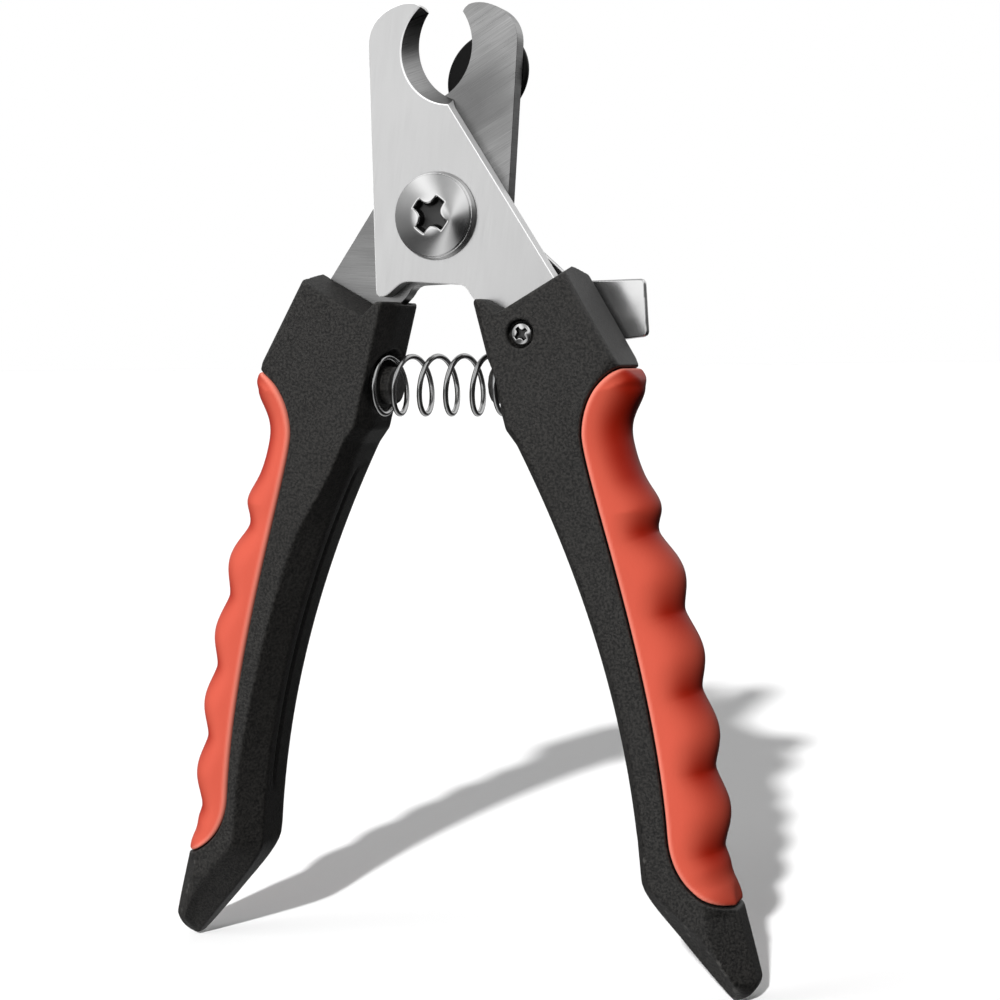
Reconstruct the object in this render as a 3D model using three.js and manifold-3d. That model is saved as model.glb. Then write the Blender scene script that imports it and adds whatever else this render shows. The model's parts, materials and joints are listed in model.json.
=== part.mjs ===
// Scissor nail clipper for pets: two hooked blades on a pivot screw, two moulded handles with soft
// finger grips, a return spring between them and a swinging nail stop behind the jaws.
//
// Millimetres, +Z up, front of the tool towards -Y. The tool stands on its two handle tips with the
// handles open. Everything is drawn about the pivot (x = 0, y = 0 between the blades, z = 0) and the
// whole group is lifted at the end. "Right" and "left" are the viewer's, from the front.
//
// The right handle carries the front blade, whose hook is the left jaw. The left half is the same
// design turned half a turn about the vertical through the pivot.

import * as THREE from 'three';
import * as BufferGeometryUtils from 'three/addons/utils/BufferGeometryUtils.js';
import Module from 'manifold-3d';

const wasm = await Module();
wasm.setup();

// ---------------------------------------------------------------- driving dimensions

const PIVOT_HEIGHT = 132.6;        // pivot axis above the ground
const GAP = 0.25;                  // between pieces that touch
const RUNNING = 0.1;               // radial clearance of what turns
const FINE = 40;                   // sides of a large round
const SMALL = 16;                  // sides of a small round

const BLADE = {
  thick: 3.0,                      // sheet thickness
  slide: 0.05,                     // each blade's distance from the mid plane
  lean: -0.028,                    // both blades lean right by this angle at rest
  edgeX: 12.05,                    // outer edge at pivot height
  edgeSlope: 0.046,                // how the outer edge leans out, going up
  top: 36.3,
  corner: 7.0,                     // radius of the jaw's outer corner
  diagonalX: 14.75,                // diagonal edge at pivot height
  diagonalSlope: 0.68,
  bottom: 11.8,                    // lower edge below the pivot
};

const NOTCH = {
  cut: { x: 4.7, z: 29.3, r: 9.7 },     // at the cutting plane
  face: { x: 2.2, z: 28.2, r: 9.35 },   // at the blade's outer face
};

const HANDLE = {
  half: 7.0,                       // half thickness
  wedgeTop: 14.6,                  // inner shoulder below the pivot
  valley: { x: 12.8, s: 17.15 },   // bottom of the shoulder's V, on the outer faces
  shoulderSlope: 0.55,
  roof: 0.27,                      // rise of the shoulder per mm towards the mid plane
  kinkStart: 36.9,                 // the inner side steps in below the tang
  kinkEnd: 39.5,
  knee: 112.5,                     // the toe turns outwards here
  toe: 132.6,                      // lowest point
  nose: { x: 51.9, s: 128.0, r: 4.6 },  // round end of the toe
  groove: { from: 44, to: 103, wide: 1.6, deep: 0.9 },
};

const GRIP = {
  top: 26.0,
  bottom: 116.4,
  firstValley: 37.5,
  rippleStart: 53.9,
  pitch: 13.25,                    // one finger
  ripple: 1.7,
  skin: 1.7,                       // thickness on the flat faces
  cheek: 3.2,                      // thickness on the outer side
};

const SPRING = {
  drop: 29.2,                      // axis below the pivot
  reach: 12.15,                    // wire's ends from the mid plane
  radius: 5.05,                    // to the wire's centre
  wire: 0.95,
  turns: 5.93,
  closed: 0.9,                     // turns laid together at each end
  phase: 1.257,
  seat: 12.9,                      // seat floors from the mid plane
  seatRadius: 6.4,
  pegRadius: 3.6,
  pegTip: 9.2,
};

const PIVOT = {
  shank: 2.9,
  bushOuter: 4.0,
  head: 7.6,
  headInner: 7.05,                 // rim of the dome
  rim: 1.1,
  dome: 1.5,
  washer: 6.2,
  washerThick: 0.6,
  nutFlats: 8.0,
  nutHeight: 3.4,
  insertHeight: 1.1,
};

const SCREW = { x: 16.9, s: 20.6, recess: 2.45, head: 1.95, shank: 1.4, depth: 1.7, insert: 2.3 };

const GUARD = {
  sheet: 1.1,
  front: 3.75,                     // front of the plate at the hub
  hub: 6.6,
  tailBack: 7.35,                  // front of the tail, behind the handle
  armBack: 5.3,                    // front of the arm where it carries the pad
  pad: { x: 6.8, z: 23.9, r: 7.4, front: 3.35, thick: 1.75 },
};

const COLOURS = {
  steel: { color: 0xc9cacb, roughness: 0.32, metalness: 1.0 },
  polished: { color: 0xd6d7d9, roughness: 0.12, metalness: 1.0 },
  brass: { color: 0xb8934a, roughness: 0.35, metalness: 1.0 },
  plastic: { color: 0x2b2b2a, roughness: 0.62, metalness: 0.0 },
  grip: { color: 0xd1523f, roughness: 0.55, metalness: 0.0 },
  nylon: { color: 0xe6e4dc, roughness: 0.5, metalness: 0.0 },
};

// ---------------------------------------------------------------- solid modelling helpers

// A closed three.js geometry as a solid.
function solid(geometry) {
  const bare = new THREE.BufferGeometry();
  bare.setAttribute('position', geometry.getAttribute('position'));
  if (geometry.index) bare.setIndex(geometry.index);
  const merged = BufferGeometryUtils.mergeVertices(bare, 1e-4);
  const mesh = new wasm.Mesh({
    numProp: 3,
    vertProperties: new Float32Array(merged.getAttribute('position').array),
    triVerts: new Uint32Array(merged.index.array),
  });
  return new wasm.Manifold(mesh);
}

// A solid as a three.js geometry again.
function geometryOf(manifold) {
  const mesh = manifold.getMesh();
  const geometry = new THREE.BufferGeometry();
  geometry.setAttribute('position', new THREE.BufferAttribute(new Float32Array(mesh.vertProperties), 3));
  geometry.setIndex(new THREE.BufferAttribute(new Uint32Array(mesh.triVerts), 1));
  geometry.computeVertexNormals();
  return geometry;
}

function joined(solids) {
  return solids.reduce((sum, next) => sum.add(next));
}

function minus(body, tools) {
  return tools.reduce((rest, tool) => rest.subtract(tool), body);
}

// An outline in the X-Z plane, made into a plate between two depths y0 < y1.
function plate(shape, y0, y1, curveSegments = 16) {
  const geometry = new THREE.ExtrudeGeometry(shape, {
    depth: y1 - y0,
    bevelEnabled: false,
    curveSegments,
  });
  geometry.rotateX(Math.PI / 2);
  geometry.translate(0, y1, 0);
  return solid(geometry);
}

function outline(points) {
  return new THREE.Shape(points.map(([x, z]) => new THREE.Vector2(x, z)));
}

// A solid of revolution about an axis along Y through (x, z); profile points are [radius, y].
function turned(profile, x = 0, z = 0, sides = FINE) {
  const points = profile.map(([r, y]) => new THREE.Vector2(r, y));
  const geometry = new THREE.LatheGeometry(points, sides);
  geometry.translate(x, 0, z);
  return solid(geometry);
}

function rod(radius, y0, y1, x = 0, z = 0, sides = FINE) {
  return turned([[0, y0], [radius, y0], [radius, y1], [0, y1]], x, z, sides);
}

function tube(inner, outer, y0, y1, x = 0, z = 0, sides = FINE) {
  return turned([[inner, y0], [outer, y0], [outer, y1], [inner, y1], [inner, y0]], x, z, sides);
}

// A cross recess for a screwdriver, centred on (x, z).
function crossRecess(arm, width, y0, y1, x, z, turn) {
  const bar = new THREE.BoxGeometry(2 * arm, y1 - y0, width);
  bar.rotateY(turn);
  bar.translate(x, (y0 + y1) / 2, z);
  const other = new THREE.BoxGeometry(width, y1 - y0, 2 * arm);
  other.rotateY(turn);
  other.translate(x, (y0 + y1) / 2, z);
  return solid(bar).add(solid(other));
}

// A closed skin over rings of equal length, each ring a list of [x, y, z].
function loft(rings) {
  const count = rings[0].length;
  const positions = rings.flat(2);
  const index = [];
  for (let ring = 0; ring < rings.length - 1; ring += 1) {
    for (let k = 0; k < count; k += 1) {
      const a = ring * count + k;
      const b = ring * count + ((k + 1) % count);
      index.push(a, b, a + count, b, b + count, a + count);
    }
  }
  const last = (rings.length - 1) * count;
  for (let k = 1; k < count - 1; k += 1) {
    index.push(0, k + 1, k);
    index.push(last, last + k, last + k + 1);
  }
  const geometry = new THREE.BufferGeometry();
  geometry.setAttribute('position', new THREE.Float32BufferAttribute(positions, 3));
  geometry.setIndex(index);
  return solid(geometry);
}

function smooth(from, to, value) {
  return THREE.MathUtils.smoothstep(value, from, to);
}

// ---------------------------------------------------------------- blades

// The blade before its notch is cut. Its hook is on the left and its tang runs down to the right.
function bladeOutline() {
  const edge = (z) => -(BLADE.edgeX + BLADE.edgeSlope * z);
  const diagonal = (z) => BLADE.diagonalX - BLADE.diagonalSlope * z;
  const shape = new THREE.Shape();
  shape.moveTo(edge(-13), -13);
  shape.lineTo(edge(BLADE.top - BLADE.corner), BLADE.top - BLADE.corner);
  shape.bezierCurveTo(edge(33), 33.4, edge(34) + 3.2, 35.6, -7.0, BLADE.top);
  shape.quadraticCurveTo(-3.6, BLADE.top + 0.4, -3.3, 35.1);
  shape.lineTo(-1, 33);
  shape.lineTo(diagonal(18.9), 18.9);
  shape.lineTo(diagonal(-12), -12);
  shape.quadraticCurveTo(24.4, -15.5, 25.2, -26);
  shape.lineTo(27.6, -48);
  shape.lineTo(23.6, -50);
  shape.quadraticCurveTo(18.4, -34, 12.9, -20.5);
  shape.lineTo(9.6, -16.6);
  shape.lineTo(6.6, -13.6);
  shape.quadraticCurveTo(5.8, -BLADE.bottom, 4.4, -BLADE.bottom);
  shape.lineTo(-5.2, -BLADE.bottom + 0.5);
  shape.quadraticCurveTo(-6.6, -BLADE.bottom + 0.5, -7.6, -12.3);
  shape.lineTo(-9.2, -13.6);
  shape.quadraticCurveTo(-10.7, -14.4, -11.3, -13.6);
  shape.lineTo(edge(-13), -13);
  return shape;
}

// The nail notch: a slanted round cut, so that the edge is sharp at the mid plane.
function notchCutter() {
  const rings = [[-BLADE.thick - 0.2, 1.07], [-BLADE.slide + 0.2, -0.08]].map(([y, blend]) => {
    const r = THREE.MathUtils.lerp(NOTCH.cut.r, NOTCH.face.r, blend);
    const x = THREE.MathUtils.lerp(NOTCH.cut.x, NOTCH.face.x, blend);
    const z = THREE.MathUtils.lerp(NOTCH.cut.z, NOTCH.face.z, blend);
    return Array.from({ length: FINE }, (_, k) => {
      const angle = (k / FINE) * 2 * Math.PI;
      return [x + r * Math.cos(angle), y, z + r * Math.sin(angle)];
    });
  });
  return loft(rings.reverse());
}

function blade(pivotHole, turn) {
  const blank = plate(bladeOutline(), -BLADE.thick, -BLADE.slide, 10);
  const cut = minus(blank, [
    notchCutter(),
    rod(pivotHole, -4, 1),
  ]);
  const screwHole = rod(SCREW.shank + 0.35, -4, 1, SCREW.x, -SCREW.s, SMALL);
  return leaned(cut, turn).subtract(screwHole);
}

// Lean a blade about the pivot axis, to the same side for the viewer whichever half it is in.
function leaned(manifold, turn) {
  return manifold.rotate([0, THREE.MathUtils.radToDeg(-BLADE.lean * turn), 0]);
}

// ---------------------------------------------------------------- handles

// x of the handle's inner side at a distance s below the pivot.
function innerSide(s) {
  const tang = (t) => 13.2 - 0.265 * (HANDLE.kinkStart - t);
  if (s < HANDLE.kinkStart) return tang(s);
  if (s < HANDLE.kinkEnd) {
    const step = (s - HANDLE.kinkStart) / (HANDLE.kinkEnd - HANDLE.kinkStart);
    return tang(HANDLE.kinkStart) + 2.0 * step;
  }
  const bow = (t) => 15.2 + 0.53 * t - 0.00318 * t * t;
  const knee = HANDLE.knee - HANDLE.kinkEnd;
  if (s < HANDLE.knee) return bow(s - HANDLE.kinkEnd);
  const past = s - HANDLE.knee;
  return bow(knee) + 0.9 * past - 2.9 * (1 - Math.exp(-past / 3.2));
}

// x of the handle's outer side: a straight shoulder, then a bulge and a valley, then the fingers.
function outerSide(s) {
  const shoulder = 24.9 + 0.59 * (s - 10.7);
  const along = s - GRIP.firstValley;
  const base = 34.1 + 0.366 * along - 0.00193 * along * along;
  const finger = Math.abs(Math.sin(((s - GRIP.rippleStart) / GRIP.pitch) * Math.PI)) ** 1.35;
  const fade = smooth(44, 52, s) * (1 - smooth(108, 113, s));
  const first = 0.9 * Math.exp(-(((s - GRIP.rippleStart) / 3.4) ** 2));
  const hollow = 0.5 * Math.exp(-(((s - 42) / 4) ** 2));
  const fingers = base + GRIP.ripple * finger * fade - first - hollow;
  const knuckle = 36.4 - 0.02 * (s - 29.2) ** 2;
  const upper = smooth(30, 40, s);
  const grip = knuckle * (1 - upper) + fingers * upper;
  const toe = 50.6 + 0.27 * (s - 106.9);
  const lower = smooth(108, 113, s);
  const held = grip * (1 - lower) + toe * lower;
  if (s < 29) return THREE.MathUtils.lerp(shoulder, held, smooth(25.6, 29, s));
  const { nose } = HANDLE;
  if (s <= nose.s) return held;
  return Math.min(held, nose.x + Math.sqrt(Math.max(0, nose.r ** 2 - (s - nose.s) ** 2)));
}

// Half thickness: constant, then drawn in round the toe.
function halfThickness(s) {
  const past = Math.max(0, s - 117) / (HANDLE.toe + 0.4 - 117);
  return 2.6 + (HANDLE.half - 2.6) * Math.sqrt(Math.max(0, 1 - past ** 2.6));
}

// One cross-section as a ring, drawn in by the inset on every side.
const CHEEK_STEPS = 7;
function section(s, inset) {
  const half = halfThickness(s) - inset.face;
  const low = smooth(45, 80, s);
  const toeward = smooth(108, 124, s);
  const chamferX = 1.4 + 1.2 * low + 2.0 * toeward;
  const chamferY = 2.1 + 0.5 * low + 0.6 * toeward;
  const inner = innerSide(s) + inset.side;
  const outer = Math.max(inner + 0.6, outerSide(s) - inset.cheek);
  const gripped = smooth(24.5, 29, s) * (1 - smooth(113, 119, s));
  const span = outer - inner;
  const round = Math.min(THREE.MathUtils.lerp(0.9, 6.5, gripped) + 2.2 * toeward, 0.55 * span);
  const chamfer = Math.min(chamferX, 0.35 * span);
  const ring = [];
  ring.push([inner + chamfer, -half], [inner, -half + chamferY]);
  ring.push([inner, half - chamferY], [inner + chamfer, half]);
  for (let k = 0; k <= CHEEK_STEPS; k += 1) {
    const angle = (k / CHEEK_STEPS - 0.5) * Math.PI;
    const y = -half * Math.sin(angle);
    const full = Math.cos(angle) ** 0.9;
    const flat = Math.min(1, half - Math.abs(y));
    const shape = THREE.MathUtils.lerp(flat, full, gripped);
    ring.push([outer - round + round * shape, y]);
  }
  return ring.map(([x, y]) => [x, y, -s]);
}

function handleBody(inset) {
  const stations = [];
  for (let s = 4; s < 24; s += 6) stations.push(s);
  for (let s = 25; s < HANDLE.kinkStart; s += 2.3) stations.push(s);
  stations.push(HANDLE.kinkStart, HANDLE.kinkEnd);
  for (let s = HANDLE.kinkEnd + GRIP.pitch / 5; s < 110; s += GRIP.pitch / 5) stations.push(s);
  stations.push(HANDLE.knee, 114.5, 117, 121, 125, HANDLE.nose.s, 130, 131.2, 132, HANDLE.toe);
  return loft(stations.map((s) => section(s, inset)));
}

// The grip's outline on the flat faces, widened by a gap when it cuts the plastic under it.
function gripRegion(gap) {
  const shape = new THREE.Shape();
  shape.moveTo(66, -GRIP.top + gap);
  shape.lineTo(35.5 - gap, -GRIP.top + gap);
  shape.bezierCurveTo(30.6 - gap, -27.2 + gap, 27.7 - gap, -32.0, 27.6 - gap, -37.4);
  shape.bezierCurveTo(27.6 - gap, -44, 40.2 - gap, -76, 42.3 - gap, -104.5);
  shape.bezierCurveTo(42.9 - gap, -112.0 - gap, 48.0, -GRIP.bottom + 0.8 - gap, 54, -GRIP.bottom - gap);
  shape.lineTo(66, -GRIP.bottom - gap);
  return plate(shape, -9, 9, 14);
}

// What lies above the shoulders: the sloping V, roofed towards the mid plane, and the wedge's top.
function shoulderCutters() {
  const { x, s } = HANDLE.valley;
  const far = 34;
  const v = outline([
    [x, -s],
    [far, -s + HANDLE.shoulderSlope * (far - x)],
    [far, 20],
    [9.9, 20],
    [9.9, -HANDLE.wedgeTop],
  ]);
  const sides = [-1, 1].map((side) => {
    const y0 = side < 0 ? -9 : -0.02;
    return plate(v, y0, y0 + 9.02).warp((vertex) => {
      vertex[2] += HANDLE.roof * (HANDLE.half - Math.abs(vertex[1]));
    });
  });
  const wedge = outline([[-4, -16.4], [7.4, -15.1], [8.6, -HANDLE.wedgeTop], [9.9, -HANDLE.wedgeTop],
    [x, -s + 0.95], [x, 20], [-4, 20]]);
  return [...sides, plate(wedge, -9, 9)];
}

// Slot for the blade's tang: the tang's own outline with a gap all round.
function tangSlot(turn) {
  const slot = outline([[5.9, -10], [4, 2], [24, 2], [24.2, -9.2], [25.4, -14], [25.8, -26],
    [28.4, -48.2], [26, -51], [23.2, -50.8], [17.8, -34.5], [12.4, -20.6], [9.1, -17.1], [6.1, -13.9]]);
  return leaned(plate(slot, -BLADE.thick - GAP, -BLADE.slide + GAP), turn);
}

// Round seat for the spring's end, cut square to the spring's axis, and the peg that centres it.
function springSeat() {
  const cut = new THREE.CylinderGeometry(SPRING.seatRadius, SPRING.seatRadius, 12, FINE);
  cut.rotateZ(Math.PI / 2);
  cut.translate(SPRING.seat - 6, 0, -SPRING.drop);
  return solid(cut);
}

function springPeg() {
  const length = SPRING.seat - SPRING.pegTip + 2;
  const peg = new THREE.CylinderGeometry(SPRING.pegRadius, SPRING.pegRadius - 0.5, length, SMALL);
  peg.rotateZ(Math.PI / 2);
  peg.translate(SPRING.pegTip + length / 2, 0, -SPRING.drop);
  return solid(peg);
}

// The shallow moulded groove down the middle of the inner side.
function sideGroove() {
  const { from, to, wide, deep } = HANDLE.groove;
  const steps = 14;
  const stations = Array.from({ length: steps + 1 }, (_, k) => from + ((to - from) * k) / steps);
  const rings = stations.map((s) => {
    const x = innerSide(s);
    return [[x - 2, -wide], [x - 2, wide], [x + deep, 0.25], [x + deep, -0.25]]
      .map(([px, py]) => [px, py, -s]);
  });
  return loft(rings);
}

// The bore for the handle screw: recess in front, clearance, and a pocket for the threaded insert.
function screwBore() {
  const { x, s, recess, shank, depth, insert } = SCREW;
  return joined([
    rod(recess, -HANDLE.half - 1, -HANDLE.half + depth, x, -s, SMALL),
    rod(shank + 0.3, -HANDLE.half, 2, x, -s, SMALL),
    rod(insert + 0.15, 1.3, 6.0, x, -s, SMALL),
  ]);
}

function handleCore(turn) {
  const outer = handleBody({ face: 0, side: 0, cheek: 0 });
  const under = handleBody({ face: GRIP.skin + GAP, side: 0.6, cheek: GRIP.cheek + GAP });
  const shell = outer.subtract(gripRegion(GAP));
  const shaped = minus(shell.add(under), [
    ...shoulderCutters(),
    springSeat(),
    sideGroove(),
  ]);
  return minus(shaped.add(springPeg()), [tangSlot(turn), screwBore()]);
}

function handleGrip() {
  const outer = handleBody({ face: 0, side: 0, cheek: 0 });
  const under = handleBody({ face: GRIP.skin, side: 0.3, cheek: GRIP.cheek });
  return outer.intersect(gripRegion(0)).subtract(under);
}

// ---------------------------------------------------------------- fasteners and small parts

function handleScrew() {
  const { x, s, head, shank, depth } = SCREW;
  const seat = -HANDLE.half + depth - 0.1;
  const body = turned([
    [0, seat - 1.2],
    [head * 0.72, seat - 1.2],
    [head, seat - 0.75],
    [head, seat],
    [shank, seat],
    [shank, 5.2],
    [0, 5.2],
  ], x, -s, SMALL);
  return body.subtract(crossRecess(1.25, 0.5, seat - 1.4, seat - 0.6, x, -s, 0.35));
}

function screwInsert() {
  const { x, s, shank, insert } = SCREW;
  return tube(shank + 0.06, insert, 1.5, 5.85, x, -s, SMALL);
}

// Pivot screw: domed head in front, shank right through to the nut.
function pivotScrew(end) {
  const base = -BLADE.thick - 0.15;
  const profile = [[0, end], [PIVOT.shank - 0.4, end], [PIVOT.shank, end - 0.5], [PIVOT.shank, base],
    [PIVOT.head, base], [PIVOT.head, base - PIVOT.rim * 0.72], [PIVOT.headInner, base - PIVOT.rim]];
  const steps = 8;
  for (let k = 1; k < steps; k += 1) {
    const t = k / steps;
    profile.push([PIVOT.headInner * Math.cos(t * Math.PI / 2) ** 0.8,
      base - PIVOT.rim - PIVOT.dome * Math.sin(t * Math.PI / 2)]);
  }
  profile.push([0, base - PIVOT.rim - PIVOT.dome]);
  const body = turned(profile.reverse());
  const front = base - PIVOT.rim - PIVOT.dome;
  return body.subtract(crossRecess(3.05, 1.6, front - 1, front + 1.6, 0, 0, -0.92));
}

function hexNut(y0, y1, hole, flats) {
  const corner = flats / Math.sqrt(3);
  const hexagon = new THREE.Shape();
  for (let k = 0; k < 6; k += 1) {
    const angle = (k / 6) * 2 * Math.PI;
    const point = [corner * Math.cos(angle), corner * Math.sin(angle)];
    if (k === 0) hexagon.moveTo(...point);
    else hexagon.lineTo(...point);
  }
  hexagon.closePath();
  return plate(hexagon, y0, y1).subtract(rod(hole, y0 - 1, y1 + 1));
}

// A ring bent into a gentle wave, which keeps the nail stop firm on the pivot.
function waveWasher(y0) {
  const rings = 48;
  const inner = PIVOT.bushOuter + 0.3;
  const outer = PIVOT.washer - 0.3;
  const thick = 0.3;
  const positions = [];
  const index = [];
  for (let k = 0; k < rings; k += 1) {
    const angle = (k / rings) * 2 * Math.PI;
    const y = y0 + 0.1 * (1 + Math.cos(3 * angle));
    [[inner, y], [outer, y], [outer, y + thick], [inner, y + thick]].forEach(([r, depth]) => {
      positions.push(r * Math.cos(angle), depth, r * Math.sin(angle));
    });
    for (let side = 0; side < 4; side += 1) {
      const a = k * 4 + side;
      const b = k * 4 + ((side + 1) % 4);
      const c = ((k + 1) % rings) * 4 + side;
      const d = ((k + 1) % rings) * 4 + ((side + 1) % 4);
      index.push(a, b, c, b, d, c);
    }
  }
  const geometry = new THREE.BufferGeometry();
  geometry.setAttribute('position', new THREE.Float32BufferAttribute(positions, 3));
  geometry.setIndex(index);
  return solid(geometry);
}

// ---------------------------------------------------------------- nail stop

// A strip of sheet bent to a profile in (distance along, depth), running out from the pivot.
function bentStrip(profile, angle, halfWidth) {
  const front = profile.map(([r, y]) => [r, y]);
  const back = [...profile].reverse().map(([r, y]) => [r, y + GUARD.sheet]);
  const shape = new THREE.Shape([...front, ...back].map(([r, y]) => new THREE.Vector2(r, y)));
  const geometry = new THREE.ExtrudeGeometry(shape, { depth: 2 * halfWidth, bevelEnabled: false });
  geometry.translate(0, 0, -halfWidth);
  geometry.rotateY(angle);
  return solid(geometry);
}

function guardLever() {
  const { front, tailBack, armBack, hub, pad } = GUARD;
  const tail = bentStrip([[-7, front], [8.6, front], [13.4, tailBack], [44, tailBack]],
    Math.atan2(15.2, 29.5), 16);
  const arm = bentStrip([[-4, front], [9, front], [12, armBack], [34, armBack]],
    -Math.atan2(pad.z, pad.x), 9);
  const tailOutline = new THREE.Shape();
  tailOutline.moveTo(1.5, 6.4);
  tailOutline.lineTo(21.5, -11.4);
  tailOutline.lineTo(33.6, -11.3);
  tailOutline.quadraticCurveTo(34.2, -11.4, 34.3, -12.0);
  tailOutline.lineTo(34.8, -20.4);
  tailOutline.quadraticCurveTo(34.7, -21.2, 34.0, -21.3);
  tailOutline.lineTo(22, -22.6);
  tailOutline.lineTo(14, -16.3);
  tailOutline.lineTo(-2.8, -6.0);
  const armOutline = outline([[-5.6, 3.4], [0.6, 21], [3.4, 28.6], [9.0, 28.6], [10.4, 20], [5.8, -3.2]]);
  const disc = rod(hub, front, front + GUARD.sheet);
  const blank = joined([
    disc,
    tail.intersect(plate(tailOutline, 0, 12)),
    arm.intersect(plate(armOutline, 0, 12)),
  ]);
  return minus(blank, [
    rod(PIVOT.bushOuter + RUNNING + 0.05, 0, 12),
    rod(1.25, 0, 12, pad.x, pad.z, SMALL),
  ]);
}

function guardPad() {
  const { x, z, r, front, thick } = GUARD.pad;
  const disc = turned([[0, front], [r - 0.6, front], [r, front + 0.6], [r, front + thick - 0.3],
    [r - 0.5, front + thick], [0, front + thick]], x, z);
  return disc.subtract(rod(1.25, 0, 12, x, z, SMALL));
}

function guardRivet() {
  const { x, z, front } = GUARD.pad;
  const back = GUARD.armBack + GUARD.sheet;
  return turned([[0, front + 0.2], [1.05, front + 0.2], [1.05, back + 0.15], [2.1, back + 0.15],
    [1.8, back + 0.75], [0.9, back + 1.05], [0, back + 1.05]], x, z, SMALL);
}

// ---------------------------------------------------------------- return spring

class Helix extends THREE.Curve {
  getPoint(t, target = new THREE.Vector3()) {
    const { reach, radius, turns, closed, wire, drop, phase } = SPRING;
    const turn = t * turns;
    const dead = wire * 1.15;
    const open = (2 * reach - 2 * dead) / (turns - 2 * closed);
    const a = Math.min(turn, closed) * (dead / closed);
    const b = Math.max(0, Math.min(turn, turns - closed) - closed) * open;
    const c = Math.max(0, turn - turns + closed) * (dead / closed);
    const angle = turn * 2 * Math.PI - phase;
    return target.set(-reach + a + b + c, -radius * Math.sin(angle), -drop - radius * Math.cos(angle));
  }
}

function returnSpring() {
  const ring = new THREE.Shape();
  ring.absarc(0, 0, SPRING.wire / 2, 0, 2 * Math.PI);
  const geometry = new THREE.ExtrudeGeometry(ring, {
    extrudePath: new Helix(),
    steps: 130,
    curveSegments: 3,
    bevelEnabled: false,
  });
  return solid(geometry);
}

// ---------------------------------------------------------------- assembly

const clipper = new THREE.Group();

function addNode(parent, name, manifold, look) {
  const mesh = new THREE.Mesh(geometryOf(manifold), new THREE.MeshStandardMaterial(COLOURS[look]));
  mesh.name = name;
  parent.add(mesh);
}

// One half: a blade, the handle moulded round its tang, the grip and the fastener through both.
// turn is 1 for the right half and -1 for the left, which is the right one turned half a turn.
function addHalf(side, bladeName, bladeHole, turn) {
  const half = new THREE.Group();
  half.rotation.z = turn > 0 ? 0 : Math.PI;
  addNode(half, bladeName, blade(bladeHole, turn), 'steel');
  addNode(half, `${side}_handle`, handleCore(turn), 'plastic');
  addNode(half, `${side}_grip`, handleGrip(), 'grip');
  addNode(half, `${side}_handle_screw`, handleScrew(), 'polished');
  addNode(half, `${side}_screw_insert`, screwInsert(), 'brass');
  clipper.add(half);
}

addHalf('right', 'blade_front', PIVOT.bushOuter + RUNNING, 1);
addHalf('left', 'blade_rear', PIVOT.bushOuter + RUNNING, -1);

const washerFront = GUARD.front + GUARD.sheet + 0.15;
const nutFront = washerFront + PIVOT.washerThick + 0.1;
const insertFront = nutFront + PIVOT.nutHeight - PIVOT.insertHeight - 0.4;
const screwEnd = nutFront + PIVOT.nutHeight + 0.3;
const bushEnd = GUARD.front + GUARD.sheet;

addNode(clipper, 'pivot_screw', pivotScrew(screwEnd), 'polished');
addNode(clipper, 'pivot_bush',
  tube(PIVOT.shank + 0.05, PIVOT.bushOuter, -BLADE.thick + 0.05, bushEnd), 'brass');
addNode(clipper, 'wave_washer', waveWasher(BLADE.thick + 0.1), 'polished');
addNode(clipper, 'pivot_washer',
  tube(PIVOT.shank + 0.15, PIVOT.washer, washerFront, washerFront + PIVOT.washerThick), 'polished');
const nut = hexNut(nutFront, nutFront + PIVOT.nutHeight, PIVOT.shank + 0.05, PIVOT.nutFlats);
const insertSeat = rod(PIVOT.shank + 0.7, insertFront, insertFront + PIVOT.insertHeight + 0.02);
addNode(clipper, 'lock_nut', nut.subtract(insertSeat), 'polished');
addNode(clipper, 'nut_insert', tube(PIVOT.shank + 0.05, PIVOT.shank + 0.62, insertFront + 0.05,
  insertFront + PIVOT.insertHeight - 0.05), 'nylon');
addNode(clipper, 'guard_lever', guardLever(), 'polished');
addNode(clipper, 'guard_pad', guardPad(), 'plastic');
addNode(clipper, 'guard_rivet', guardRivet(), 'polished');
addNode(clipper, 'return_spring', returnSpring(), 'polished');

// Stand the tool on its handle tips, centred front to back on its overall depth.
clipper.position.set(0, -(screwEnd - HANDLE.half) / 2, PIVOT_HEIGHT);
clipper.updateMatrixWorld(true);

export default clipper;
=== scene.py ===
import json
import math

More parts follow.
